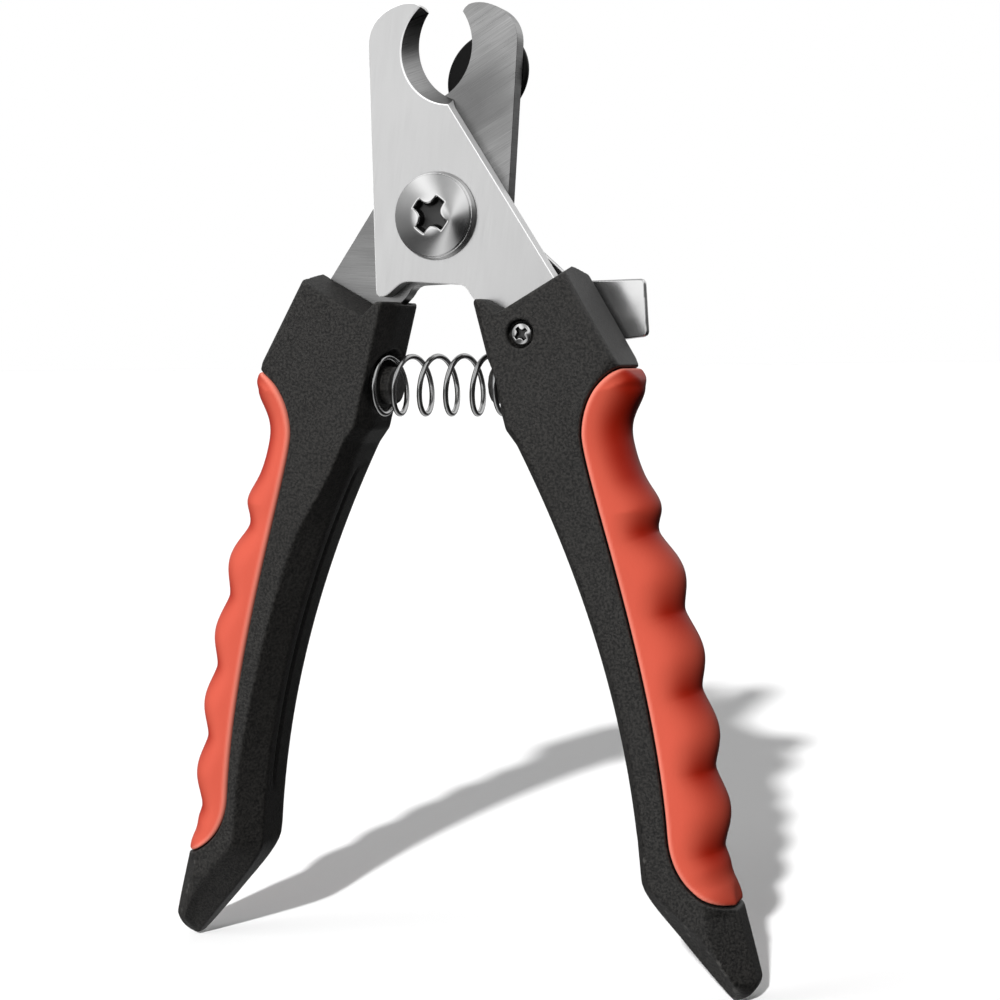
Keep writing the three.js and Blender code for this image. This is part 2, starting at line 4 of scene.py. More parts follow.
import bpy
import numpy as np
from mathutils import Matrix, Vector

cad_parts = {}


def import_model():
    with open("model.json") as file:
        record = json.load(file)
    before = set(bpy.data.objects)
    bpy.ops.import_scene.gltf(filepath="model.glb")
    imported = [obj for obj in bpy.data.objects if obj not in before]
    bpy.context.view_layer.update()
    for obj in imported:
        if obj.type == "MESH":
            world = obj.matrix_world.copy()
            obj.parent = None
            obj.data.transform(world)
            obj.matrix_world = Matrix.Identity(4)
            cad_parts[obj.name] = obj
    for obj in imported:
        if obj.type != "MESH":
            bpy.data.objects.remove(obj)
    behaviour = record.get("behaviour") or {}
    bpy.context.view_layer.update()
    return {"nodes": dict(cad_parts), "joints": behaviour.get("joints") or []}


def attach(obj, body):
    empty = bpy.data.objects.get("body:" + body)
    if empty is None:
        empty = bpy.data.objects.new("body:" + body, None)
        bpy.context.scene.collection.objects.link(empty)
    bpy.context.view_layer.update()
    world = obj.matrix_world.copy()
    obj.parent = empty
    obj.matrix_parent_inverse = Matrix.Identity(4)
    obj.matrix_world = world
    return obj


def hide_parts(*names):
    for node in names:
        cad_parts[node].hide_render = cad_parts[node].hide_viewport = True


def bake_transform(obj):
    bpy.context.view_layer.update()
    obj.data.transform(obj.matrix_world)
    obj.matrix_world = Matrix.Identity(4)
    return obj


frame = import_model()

# A scissor nail clipper. Lengths below are millimetres from the pivot (x right, y back, z up), and s is
# the distance below it. The left half is drawn as a right half and turned half a turn about the vertical.
# Only the lean of the blades and of their slots is to the same side on both.
MM = 0.001
PIVOT = Vector(next(j for j in frame["joints"] if j["name"] == "handle_pivot")["pos_m"])
RIGHT, LEFT, STOP = "right_half", "left_half", "nail_stop"


# ---------------------------------------------------------------- shader nodes

def grey(value):
    return (value, value, value, 1)


class Nodes:
    """Short names for the nodes that a shader tree is built from. A value is a socket or a constant."""

    def __init__(self, tree):
        self.tree = tree
        self.coord = self.new("TexCoord")

    def new(self, kind, **settings):
        node = self.tree.nodes.new("ShaderNode" + kind)
        for key, value in settings.items():
            setattr(node, key, value)
        return node

    def put(self, socket, value):
        if hasattr(value, "is_linked"):
            self.tree.links.new(value, socket)
        else:
            socket.default_value = value

    def where(self, scale=(1, 1, 1), turn=(0, 0, 0)):
        node = self.new("Mapping", vector_type="TEXTURE")
        self.put(node.inputs["Scale"], [1 / k for k in scale])
        self.put(node.inputs["Rotation"], [math.radians(a) for a in turn])
        self.put(node.inputs["Vector"], self.coord.outputs["Object"])
        return node.outputs["Vector"]

    def noise(self, scale, vector=None, detail=3.0, rough=0.5):
        node = self.new("TexNoise")
        for key, value in (("Scale", scale), ("Detail", detail), ("Roughness", rough),
                           ("Vector", vector or self.coord.outputs["Object"])):
            self.put(node.inputs[key], value)
        return node.outputs["Fac"]

    def ramp(self, value, low, high, start=0.3, end=0.7, kind="LINEAR"):
        """low where value is start, high where it is end, and held beyond them."""
        node = self.new("MapRange", interpolation_type=kind)
        for key, number in (("Value", value), ("From Min", start), ("From Max", end), ("To Min", low),
                            ("To Max", high)):
            self.put(node.inputs[key], number)
        return node.outputs["Result"]

    def mix(self, factor, low, high):
        node = self.new("Mix", data_type="RGBA")
        for socket, value in ((node.inputs["Factor"], factor), (node.inputs[6], low), (node.inputs[7], high)):
            self.put(socket, value)
        return node.outputs[2]

    def math(self, operation, a, b):
        node = self.new("Math", operation=operation)
        self.put(node.inputs[0], a)
        self.put(node.inputs[1], b)
        return node.outputs[0]

    def vector(self, operation, a, b):
        """The number that comes of two vectors: their DOT_PRODUCT or DISTANCE."""
        node = self.new("VectorMath", operation=operation)
        self.put(node.inputs[0], a)
        self.put(node.inputs[1], b)
        return node.outputs["Value"]

    def split(self, vector):
        node = self.new("SeparateXYZ")
        self.put(node.inputs[0], vector)
        return node.outputs

    def bump(self, height, strength, distance):
        node = self.new("Bump")
        for key, value in (("Strength", strength), ("Distance", distance), ("Height", height)):
            self.put(node.inputs[key], value)
        return node.outputs["Normal"]

    def painted(self, name):
        return self.new("Attribute", attribute_name=name).outputs["Fac"]


def material(name, **inputs):
    made = bpy.data.materials.new(name)
    made.use_nodes = True
    shader = made.node_tree.nodes["Principled BSDF"]
    for key, value in inputs.items():
        shader.inputs[key.replace("_", " ")].default_value = value
    return made, Nodes(made.node_tree), shader


# ---------------------------------------------------------------- camera, stage and light

def place(x, y, z):
    return PIVOT + Vector((x, y, z)) * MM


CAMERA_AT = (132.8, -293.9, -25.5)
CAMERA_TURN = (85.741, 0.610, 22.610)   # degrees
LENS, SENSOR = 66.105, 36.0


def camera():
    data = bpy.data.cameras.new("camera")
    data.sensor_width = SENSOR
    data.lens = LENS
    data.clip_start, data.clip_end = 0.02, 100
    obj = bpy.data.objects.new("camera", data)
    obj.location = place(*CAMERA_AT)
    obj.rotation_euler = [math.radians(a) for a in CAMERA_TURN]
    bpy.context.collection.objects.link(obj)
    bpy.context.scene.camera = obj


def sun(name, strength, softness, azimuth, elevation):
    """A far light, softness degrees across and azimuth degrees to the right of straight in front.

    Glossy surfaces don't see it: they mirror the world's pattern instead."""
    data = bpy.data.lights.new(name, "SUN")
    data.energy = strength
    data.angle = math.radians(softness)
    obj = bpy.data.objects.new(name, data)
    across, up = math.radians(azimuth), math.radians(elevation)
    toward = Vector((math.sin(across) * math.cos(up), -math.cos(across) * math.cos(up), math.sin(up)))
    obj.location = PIVOT + toward
    obj.rotation_mode = "QUATERNION"
    obj.rotation_quaternion = (obj.location - PIVOT).to_track_quat("Z", "Y")
    obj.visible_glossy = False
    bpy.context.collection.objects.link(obj)


# What bright metal mirrors, by the direction seen from the front: left, down, right, up and left again.
AROUND = ((0.0, 0.22), (0.06, 0.08), (0.12, 0.12), (0.19, 0.80), (0.25, 0.45), (0.31, 0.015), (0.41, 0.015),
          (0.48, 0.05), (0.53, 0.10), (0.58, 0.80), (0.67, 1.05), (0.75, 0.55), (0.80, 0.42), (0.87, 1.2),
          (0.93, 0.45), (1.0, 0.22))
# How the studio lights everything else, from its bright left to its dark right.
ACROSS = ((0.0, 0.38), (0.35, 0.26), (0.6, 0.11), (0.8, 0.03), (1.0, 0.02))
# The bright card that faces which look at the camera mirror, and how close to it (as a cosine) it fades.
AHEAD, AHEAD_LIGHT = Vector((-0.45, -0.89, 0.08)).normalized(), 1.22
AHEAD_EDGE, AHEAD_FULL = 0.93, 0.99
DARK_SIDE = Vector((0.86, 0.2, -0.42)).normalized()


def grey_ramp(n, factor, stops):
    node = n.new("ValToRGB")
    node.color_ramp.interpolation = "EASE"
    while len(node.color_ramp.elements) < len(stops):
        node.color_ramp.elements.new(0.5)
    for element, (at, value) in zip(node.color_ramp.elements, stops):
        element.position = at
        element.color = grey(value)
    n.put(node.inputs["Fac"], factor)
    return node.outputs["Color"]


def world():
    """Glossy rays see AROUND with the card in front of it, other rays ACROSS, and the camera plain white."""
    made = bpy.data.worlds.new("studio")
    bpy.context.scene.world = made
    made.use_nodes = True
    made.node_tree.nodes.clear()
    n = Nodes(made.node_tree)
    way = n.coord.outputs["Generated"]
    parts = n.split(way)
    flat = n.new("CombineXYZ")
    n.put(flat.inputs["X"], parts["X"])
    n.put(flat.inputs["Y"], parts["Z"])
    angle = n.new("TexGradient", gradient_type="RADIAL")
    n.put(angle.inputs["Vector"], flat.outputs[0])
    card = n.ramp(n.vector("DOT_PRODUCT", way, AHEAD), 0, 1, AHEAD_EDGE, AHEAD_FULL, "SMOOTHSTEP")
    glossy = n.mix(card, grey_ramp(n, angle.outputs["Fac"], AROUND), grey(AHEAD_LIGHT))
    diffuse = grey_ramp(n, n.ramp(n.vector("DOT_PRODUCT", way, DARK_SIDE), 0, 1, -1, 1), ACROSS)
    ray = n.new("LightPath").outputs
    unseen = n.mix(ray["Is Glossy Ray"], diffuse, glossy)
    lit = n.new("Background")
    n.put(lit.inputs["Color"], n.mix(ray["Is Camera Ray"], unseen, grey(1)))
    n.put(n.new("OutputWorld").inputs["Surface"], lit.outputs[0])


FLOOR_HALF, FLOOR_DROP = 40.0, 0.0003    # metres


def floor():
    """A plain white floor, wide enough that its edge is never seen. Only the camera and shadows meet it."""
    mesh = bpy.data.meshes.new("floor")
    corners = [(x * FLOOR_HALF, y * FLOOR_HALF, 0) for x, y in ((-1, -1), (1, -1), (1, 1), (-1, 1))]
    mesh.from_pydata(corners, [], [(0, 1, 2, 3)])
    obj = bpy.data.objects.new("floor", mesh)
    obj.location = (0, 0, -FLOOR_DROP)
    bpy.context.collection.objects.link(obj)
    mesh.materials.append(material("paper", Base_Color=grey(0.95), Roughness=0.9, Specular_IOR_Level=0.1)[0])
    obj.visible_glossy = False
    obj.visible_diffuse = False


camera()
world()
floor()
# Each light's name, strength, softness, azimuth and elevation. The first one's shadow is the sharp one.
for light in (("key", 4.7, 2.4, 5.5, 30), ("left_fill", 3.3, 40, -52, 4), ("back_fill", 2.6, 12, -163, 2.5)):
    sun(*light)
bpy.context.scene.view_settings.view_transform = "Standard"


# ---------------------------------------------------------------- materials

def black_plastic():
    """Spark-eroded grain, with a painted highlight that makes sharp convex edges a little paler."""
    made, n, shader = material("black_plastic", Specular_IOR_Level=0.62)
    grain = n.noise(2300, detail=3.0, rough=0.65)
    cloud = n.noise(70)
    low, high = (0.0012, 0.0011, 0.0010, 1), (0.0170, 0.0161, 0.0149, 1)
    tone = n.mix(n.ramp(grain, 0, 1, 0.4, 0.6), low, high)
    # painted highlight: where Pointiness marks a sharp convex edge, the colour is mixed towards a paler grey
    edge_glint = n.ramp(n.new("NewGeometry").outputs["Pointiness"], 0, 0.8, 0.54, 0.64)
    n.put(shader.inputs["Base Color"], n.mix(edge_glint, tone, (0.050, 0.048, 0.045, 1)))
    n.put(shader.inputs["Roughness"], n.ramp(cloud, 0.5, 0.6))
    n.put(shader.inputs["Normal"], n.bump(grain, 0.8, 0.00018))
    return made


def coral_rubber():
    """Soft rubber, with painted shade that deepens the red on faces turning outward, most between the
    fingers, and a painted highlight that makes it paler along the grip's rim.
    """
    made, n, shader = material("coral_rubber", Specular_IOR_Level=0.3)
    cloud = n.noise(45)
    grain = n.noise(3400, detail=1.0)
    tone = n.mix(n.ramp(cloud, 0, 1), (0.37, 0.056, 0.033, 1), (0.41, 0.066, 0.040, 1))
    # painted highlight: paler along the grip's rim
    tone = n.mix(n.painted("rim_highlight"), tone, (0.60, 0.20, 0.15, 1))
    # painted shade: deep red on faces that turn outward, most between the fingers
    n.put(shader.inputs["Base Color"], n.mix(n.painted("hollow"), tone, (0.24, 0.010, 0.003, 1)))
    n.put(shader.inputs["Roughness"], n.ramp(cloud, 0.46, 0.56))
    n.put(shader.inputs["Normal"], n.bump(grain, 0.12, 0.00008))
    return made


def satin_steel():
    """The blades' outer faces: even satin, with a faint cloud and hair lines."""
    made, n, shader = material("satin_steel", Metallic=1.0)
    cloud = n.noise(38, detail=2.0)
    hair = n.noise(120, n.where((40, 40, 1), (0, 8, 0)), detail=2.0)
    n.put(shader.inputs["Base Color"], n.mix(n.ramp(cloud, 0, 1), grey(0.63), grey(0.68)))
    n.put(shader.inputs["Roughness"], n.ramp(hair, 0.30, 0.35))
    n.put(shader.inputs["Normal"], n.bump(hair, 0.04, 0.00003))
    return made


# The middle of the darker patch of painted shade on the ground faces, beside the front blade's diagonal edge,
# and from where to where it fades (metres).
SHADE_PATCH_AT, SHADE_PATCH_REACH = (4.5, 0, 18), (0.001, 0.013)


def ground_steel(name, turn, light, dark, lower_turn=None):
    """Ground faces, with long parallel scratches turned by so many degrees, and a darker patch of painted
    shade.

    With lower_turn, the strokes below the jaw run that way, and painted shade makes the face there darker."""
    made, n, shader = material(name, Metallic=1.0, Anisotropic=0.3)
    here = n.coord.outputs["Object"]

    def strokes(angle):
        fine = n.noise(110, n.where((1, 1, 55), (0, angle, 0)), detail=3.0, rough=0.7)
        broad = n.noise(70, n.where((1, 1, 9), (0, angle, 0)), detail=2.0)
        return fine, broad
    fine, broad = strokes(turn)
    # painted shade: darker near the patch's middle, fading out between 1 and 13 mm from it
    patch_shade = n.ramp(n.vector("DISTANCE", here, place(*SHADE_PATCH_AT)), 0.1, 1, *SHADE_PATCH_REACH)
    cloud = n.math("MULTIPLY", patch_shade, n.noise(75, detail=1.0))
    if lower_turn is not None:
        low = n.ramp(n.split(here)["Z"], 1, 0, PIVOT.z, PIVOT.z + 0.006)
        fine2, broad2 = strokes(lower_turn)
        fine, broad = n.mix(low, fine, fine2), n.mix(low, broad, broad2)
        # painted shade: below the jaw the face is darker
        cloud = n.math("MULTIPLY", n.ramp(low, 1, 0.55), cloud)
    streak = n.math("MULTIPLY", n.ramp(fine, 0.35, 1, 0.3, 0.7), n.ramp(broad, 0.65, 1))
    shine = n.math("MULTIPLY", streak, n.ramp(cloud, 0.3, 1, 0.12, 0.5))
    n.put(shader.inputs["Base Color"], n.mix(shine, grey(dark), grey(light)))
    n.put(shader.inputs["Roughness"], n.ramp(fine, 0.26, 0.4))
    n.put(shader.inputs["Normal"], n.bump(fine, 0.3, 0.00004))
    return made


def bright_steel(name, colour, rough, around=False, metallic=1.0):
    """Plated, polished or drawn steel. around gives the fine rings that a lathe leaves about Y."""
    made, n, shader = material(name, Metallic=metallic)
    cloud = n.noise(220, detail=3.0)
    n.put(shader.inputs["Base Color"], n.mix(n.ramp(cloud, 0, 1), grey(colour * 0.93), grey(colour)))
    n.put(shader.inputs["Roughness"], n.ramp(cloud, rough, rough * 1.6))
    if around:
        n.put(shader.inputs["Anisotropic"], 0.6)
        n.put(shader.inputs["Tangent"], n.new("Tangent", direction_type="RADIAL", axis="Y").outputs[0])
    return made


def brass():
    made, n, shader = material("brass", Metallic=1.0)
    cloud = n.noise(300)
    tone = n.mix(n.ramp(cloud, 0, 1), (0.58, 0.41, 0.17, 1), (0.70, 0.52, 0.25, 1))
    n.put(shader.inputs["Base Color"], tone)
    n.put(shader.inputs["Roughness"], n.ramp(cloud, 0.26, 0.4))
    return made


def nylon():
    made, n, shader = material("nylon", Subsurface_Weight=0.1)
    cloud = n.noise(400)
    tone = n.mix(n.ramp(cloud, 0, 1), (0.70, 0.69, 0.64, 1), (0.78, 0.77, 0.73, 1))
    n.put(shader.inputs["Base Color"], tone)
    n.put(shader.inputs["Roughness"], n.ramp(cloud, 0.4, 0.55))
    return made


def pad_plastic():
    made, n, shader = material("pad_plastic", Specular_IOR_Level=0.13)
    grain = n.noise(1500)
    n.put(shader.inputs["Base Color"], n.mix(n.ramp(grain, 0, 1), grey(0.0015), grey(0.004)))
    n.put(shader.inputs["Roughness"], n.ramp(grain, 0.35, 0.5))
    n.put(shader.inputs["Normal"], n.bump(grain, 0.15, 0.00006))
    return made


PLASTIC = black_plastic()
RUBBER = coral_rubber()
SATIN = satin_steel()
GROUND = ground_steel("ground_steel", -28, 0.58, 0.14, lower_turn=4)
NOTCH_GROUND = ground_steel("notch_ground", -32, 0.60, 0.20)
# painted highlight: a pale, half-metallic steel that shows the blades' outer bevels and diagonal walls as
# white lines
EDGE_HIGHLIGHT = bright_steel("painted_edge_highlight", 0.9, 0.4, metallic=0.3)
POLISHED = bright_steel("polished_steel", 0.82, 0.16)
TURNED = bright_steel("turned_steel", 0.80, 0.12, around=True)
CHROME = bright_steel("chrome", 0.72, 0.10)
SPRING_WIRE = bright_steel("spring_wire", 0.50, 0.13)
# painted shade: the near-black steel inside the screws' cross recesses
RECESS_SHADE = bright_steel("recess_shade_steel", 0.09, 0.35)
BRASS = brass()
NYLON = nylon()
PAD = pad_plastic()


# ---------------------------------------------------------------- meshes

def piece(name, vertices, faces, body, materials, stands_for=(), smooth_angle=None, normals=None):
    """A finished object from millimetres about the pivot, in place of the CAD nodes that it stands for.

    Without a body, the caller attaches it later or leaves it unattached."""
    mesh = bpy.data.meshes.new(name)
    world_points = np.asarray(vertices, float) * MM + np.array(PIVOT)
    mesh.from_pydata(world_points.tolist(), [], [tuple(f) for f in faces])
    for m in materials:
        mesh.materials.append(m)
    obj = bpy.data.objects.new(name, mesh)
    bpy.context.collection.objects.link(obj)
    mesh.shade_smooth()
    if smooth_angle is not None:
        mesh.set_sharp_from_angle(angle=math.radians(smooth_angle))
    if normals is not None:
        mesh.normals_split_custom_set_from_vertices(normals.tolist())
    if body:
        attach(obj, body)
    if stands_for:
        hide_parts(*stands_for)
    return obj


def step_between(value, low, high):
    t = np.clip((np.asarray(value, float) - low) / (high - low), 0, 1)
    return t * t * (3 - 2 * t)


def lerp(a, b, t):
    return a + (b - a) * t


def smax(a, b, r):
    """Intersection of two solids, with a fillet of about r."""
    h = np.maximum(r - np.abs(a - b), 0) / r
    return np.maximum(a, b) + h * h * r / 4


def smin(a, b, r):
    return -smax(-a, -b, r)


def arc_points(start, control, end, count=10):
    t = np.linspace(0, 1, count + 1)[1:, None]
    a, b, c = (np.array(p, float) for p in (start, control, end))
    return ((1 - t) ** 2 * a + 2 * t * (1 - t) * b + t * t * c).tolist()


def cubic_points(start, c1, c2, end, count=16):
    t = np.linspace(0, 1, count + 1)[1:, None]
    a, b, c, d = (np.array(p, float) for p in (start, c1, c2, end))
    return ((1 - t) ** 3 * a + 3 * t * (1 - t) ** 2 * b + 3 * t * t * (1 - t) * c + t ** 3 * d).tolist()


def polygon_distance(points, px, pz):
    """Signed distance to a closed outline, negative inside."""
    shape = px.shape
    px, pz = px.ravel(), pz.ravel()
    near = np.full(px.shape, 1e12)
    inside = np.zeros(px.shape, bool)
    ring = [tuple(p) for p in points]
    for (ax, az), (bx, bz) in zip(ring, ring[1:] + ring[:1]):
        ex, ez = bx - ax, bz - az
        length = ex * ex + ez * ez
        if length < 1e-12:
            continue
        wx, wz = px - ax, pz - az
        t = np.clip((wx * ex + wz * ez) / length, 0, 1)
        near = np.minimum(near, (wx - t * ex) ** 2 + (wz - t * ez) ** 2)
        if az != bz:
            crossing = ((az <= pz) & (pz < bz)) | ((bz <= pz) & (pz < az))
            inside ^= crossing & (px < ax + (pz - az) * ex / ez)
    return (np.sqrt(near) * np.where(inside, -1, 1)).reshape(shape)


class Outline:
    """An outline's signed distance, tabled on a fine grid and looked up between its points."""

    def __init__(self, points, low, high, step=0.25):
        self.low, self.step = low, step
        xs = np.arange(low[0], high[0] + step, step)
        zs = np.arange(low[1], high[1] + step, step)
        self.table = polygon_distance(points, *np.meshgrid(xs, zs, indexing="ij"))

    def __call__(self, x, z):
        u = np.clip((x - self.low[0]) / self.step, 0, self.table.shape[0] - 1.001)
        v = np.clip((z - self.low[1]) / self.step, 0, self.table.shape[1] - 1.001)
        i, j = u.astype(int), v.astype(int)
        u, v = u - i, v - j
        t = self.table
        return ((t[i, j] * (1 - u) + t[i + 1, j] * u) * (1 - v)
                + (t[i, j + 1] * (1 - u) + t[i + 1, j + 1] * u) * v)


# The pairs of a cell's corners that its twelve edges join, and the corners themselves.
EDGES = [(a, b) for a in range(8) for b in range(8) if a < b and bin(a ^ b).count("1") == 1]
CORNERS = np.array([[c >> 2 & 1, c >> 1 & 1, c & 1] for c in range(8)])


def skin(field, low, high, step):
    """A closed quad mesh over the surface where field is 0 (field is negative inside the solid)."""
    axes = [np.arange(a, b + step, step) for a, b in zip(low, high)]
    value = field(*np.meshgrid(*axes, indexing="ij"))
    inside = value < 0
    nx, ny, nz = (n - 1 for n in value.shape)
    corner = [value[i:i + nx, j:j + ny, k:k + nz] for i, j, k in CORNERS]
    count = sum((c < 0).astype(int) for c in corner)
    active = (count > 0) & (count < 8)
    number = np.full(active.shape, -1)
    number[active] = np.arange(active.sum())
    cells = np.argwhere(active)
    at = np.array([c[active] for c in corner])
    total = np.zeros((len(cells), 3))
    hits = np.zeros(len(cells))
    for a, b in EDGES:
        crosses = (at[a] < 0) != (at[b] < 0)
        t = np.where(crosses, at[a] / np.where(crosses, at[a] - at[b], 1), 0)
        point = CORNERS[a] + t[:, None] * (CORNERS[b] - CORNERS[a])
        total += point * crosses[:, None]
        hits += crosses
    points = (cells + total / hits[:, None]) * step + np.array([a[0] for a in axes])
    quads = []
    for axis in range(3):
        first = [slice(1, -1)] * 3
        second = [slice(1, -1)] * 3
        first[axis], second[axis] = slice(0, -1), slice(1, None)
        u, v = (a for a in range(3) if a != axis)
        here, there = inside[tuple(first)], inside[tuple(second)]
        found = np.argwhere(here != there)
        found[:, u] += 1
        found[:, v] += 1
        outward = inside[tuple(found.T)]
        ring = []
        for du, dv in ((0, 0), (1, 0), (1, 1), (0, 1)):
            cell = found.copy()
            cell[:, u] -= du
            cell[:, v] -= dv
            ring.append(number[tuple(cell.T)])
        ring = np.stack(ring, 1)
        flip = outward if axis != 1 else ~outward
        quads.append(np.where(flip[:, None], ring, ring[:, ::-1]))
    return points, np.concatenate(quads)


def slope(field, points, width):
    """The field's gradient at the points, by differences this wide to either side."""
    out = []
    for axis in range(3):
        shift = np.zeros(3)
        shift[axis] = width
        out.append(field(*(points + shift).T) - field(*(points - shift).T))
    return np.stack(out, 1) / (2 * width)


def settled(field, points, step):
    """The points moved onto the surface, with the surface's normals there."""
    for _ in range(3):
        g = slope(field, points, step * 0.25)
        push = field(*points.T)[:, None] * g / np.maximum((g * g).sum(1), 0.2)[:, None]
        points = points - np.clip(push, -step * 0.4, step * 0.4)
    g = slope(field, points, step * 0.45)
    return points, g / np.linalg.norm(g, axis=1)[:, None]


def moulded(name, field, low, high, step, body, materials, stands_for, turn=1):
    """A piece from a field. turn -1 turns it half a turn about the vertical through the pivot."""
    points, quads = skin(field, low, high, step)
    points, normals = settled(field, points, step)
    if turn < 0:
        half_turn = np.array([-1, -1, 1])
        points, normals = points * half_turn, normals * half_turn
    return piece(name, points, quads, body, materials, stands_for, normals=normals)


# ---------------------------------------------------------------- handles and grips

HALF, TOE_HALF = 7.0, 2.6              # half the thickness, over most of the length and at the tip
TOE = 132.6
NOSE_X, NOSE_S, NOSE_R = 51.9, 128.0, 4.6
KNEE, KINK_START, KINK_END = 112.5, 36.9, 39.5
GRIP_TOP, GRIP_BOTTOM = 26.0, 116.4
GRIP_SKIN, GRIP_BED = 1.9, 2.3         # how thick the rubber is, and how deep it is let into the plastic
VALLEY_X, VALLEY_S, SHOULDER_SLOPE, ROOF, WEDGE_TOP = 12.8, 17.15, 0.55, 0.27, 14.6
SPRING_DROP, SEAT, SEAT_R = 29.2, 12.9, 6.4
PEG_R, PEG_ROOT, PEG_END = 3.3, 14, 9.3
FIRST_VALLEY, RIPPLE_START, FINGER = 37.5, 53.9, 13.25
GROOVE = 0.6                           # the parting groove's depth and half its width
SCREW_X, SCREW_S, SCREW_SEAT = 16.9, 20.6, -5.3
BORE_R, PILOT_R, PILOT_END = 2.45, 1.7, 2
SLOT_FRONT, SLOT_BACK = -3.2, 0.15     # the slot for the blade's tang
FACET_IN, FACET_BACK, FACET_CUT = 4.4, 4.8, 3.24    # the toe's facet: its two legs, and its depth
LEAN = -0.028                          # radians: at rest both blades are turned to the right


def inner_side(s):
    """x along the edge that faces the other handle: the tang's holder, the step under it, the long bow."""
    tang = 13.2 - 0.265 * (KINK_START - s)
    step = 13.2 + 2.0 * (s - KINK_START) / (KINK_END - KINK_START)
    t = np.minimum(s, KNEE) - KINK_END
    bow = 15.2 + 0.53 * t - 0.00318 * t * t
    past = np.maximum(s - KNEE, 0)
    below = bow + 0.9 * past - 2.9 * (1 - np.exp(-past / 3.2))
    return np.where(s < KINK_START, tang, np.where(s < KINK_END, step, below))


def finger_wave(s):
    """0 between the fingers and 1 at the top of each swelling."""
    return np.abs(np.sin((s - RIPPLE_START) / FINGER * math.pi)) ** 1.35


def outer_side(s):
    """x along the edge that the fingers close round: shoulder, knuckle, four swellings, toe and nose."""
    shoulder = 24.9 + 0.59 * (s - 10.7)
    along = s - FIRST_VALLEY
    base = 34.1 + 0.366 * along - 0.00193 * along * along
    fade = step_between(s, 44, 52) * (1 - step_between(s, 108, 113))
    first = 0.9 * np.exp(-(((s - RIPPLE_START) / 3.4) ** 2))
    hollow = 0.5 * np.exp(-(((s - 42) / 4) ** 2))
    fingers = base + 1.7 * finger_wave(s) * fade - first - hollow
    knuckle = 36.4 - 0.02 * (s - 29.2) ** 2
    grip = lerp(knuckle, fingers, step_between(s, 30, 40))
    toe = 50.6 + 0.27 * (s - 106.9)
    held = lerp(grip, toe, step_between(s, 108, 113))
    upper = lerp(shoulder, held, step_between(s, 25.6, 29))
    nose = NOSE_X + np.sqrt(np.maximum(0, NOSE_R ** 2 - (s - NOSE_S) ** 2))
    return np.where(s < 29, upper, np.where(s <= NOSE_S, held, np.minimum(held, nose)))


def half_thickness(s):
    past = np.maximum(0, s - 117) / (TOE + 0.4 - 117)
    return TOE_HALF + (HALF - TOE_HALF) * np.sqrt(np.maximum(0, 1 - np.minimum(past, 1) ** 2.6))


def handle_outline():
    stations = np.linspace(2, TOE, 262)
    inner = inner_side(stations)
    outer = np.maximum(outer_side(stations), inner + 0.6)
    return list(zip(inner, -stations)) + list(zip(outer, -stations))[::-1]


HANDLE = Outline(handle_outline(), (2, -136), (62, 2))

GRIP_EDGE = [(66, -GRIP_TOP), (35.5, -GRIP_TOP)]
GRIP_EDGE += cubic_points(GRIP_EDGE[-1], (30.6, -27.2), (27.7, -32.0), (27.6, -37.4), 24)
GRIP_EDGE += cubic_points(GRIP_EDGE[-1], (27.6, -44), (40.2, -76), (42.3, -104.5), 40)
GRIP_EDGE += cubic_points(GRIP_EDGE[-1], (42.9, -112), (48.0, -GRIP_BOTTOM + 0.8), (54, -GRIP_BOTTOM), 20)
GRIP_EDGE += [(66, -GRIP_BOTTOM)]
GRIP_REGION = Outline(GRIP_EDGE, (20, -122), (64, -20))

# What is cut away above the handle's V-shaped shoulder, on its outer and its inner side.
SHOULDER_V = [(VALLEY_X, -VALLEY_S), (34, -VALLEY_S + SHOULDER_SLOPE * (34 - VALLEY_X)), (34, 20), (9.9, 20),
              (9.9, -WEDGE_TOP)]
WEDGE_V = [(-4, -16.4), (7.2, -15.2), (8.4, -WEDGE_TOP), (9.9, -WEDGE_TOP), (VALLEY_X, -VALLEY_S + 0.95),
           (VALLEY_X, 20), (-4, 20)]
SHOULDER, WEDGE = (Outline(points, (2, -24), (36, 12), 0.2) for points in (SHOULDER_V, WEDGE_V))

TANG_EDGE = [(5.9, -10), (4, 2), (16.2, 2), (21.9, -9.2), (23.6, -12), (24.9, -16), (25.8, -26),
             (28.4, -48.2), (26, -51), (23.2, -50.8), (17.8, -34.5), (12.4, -20.6), (9.1, -17.1),
             (6.1, -13.9)]
TANG_SLOT = Outline(TANG_EDGE, (2, -56), (34, 6))


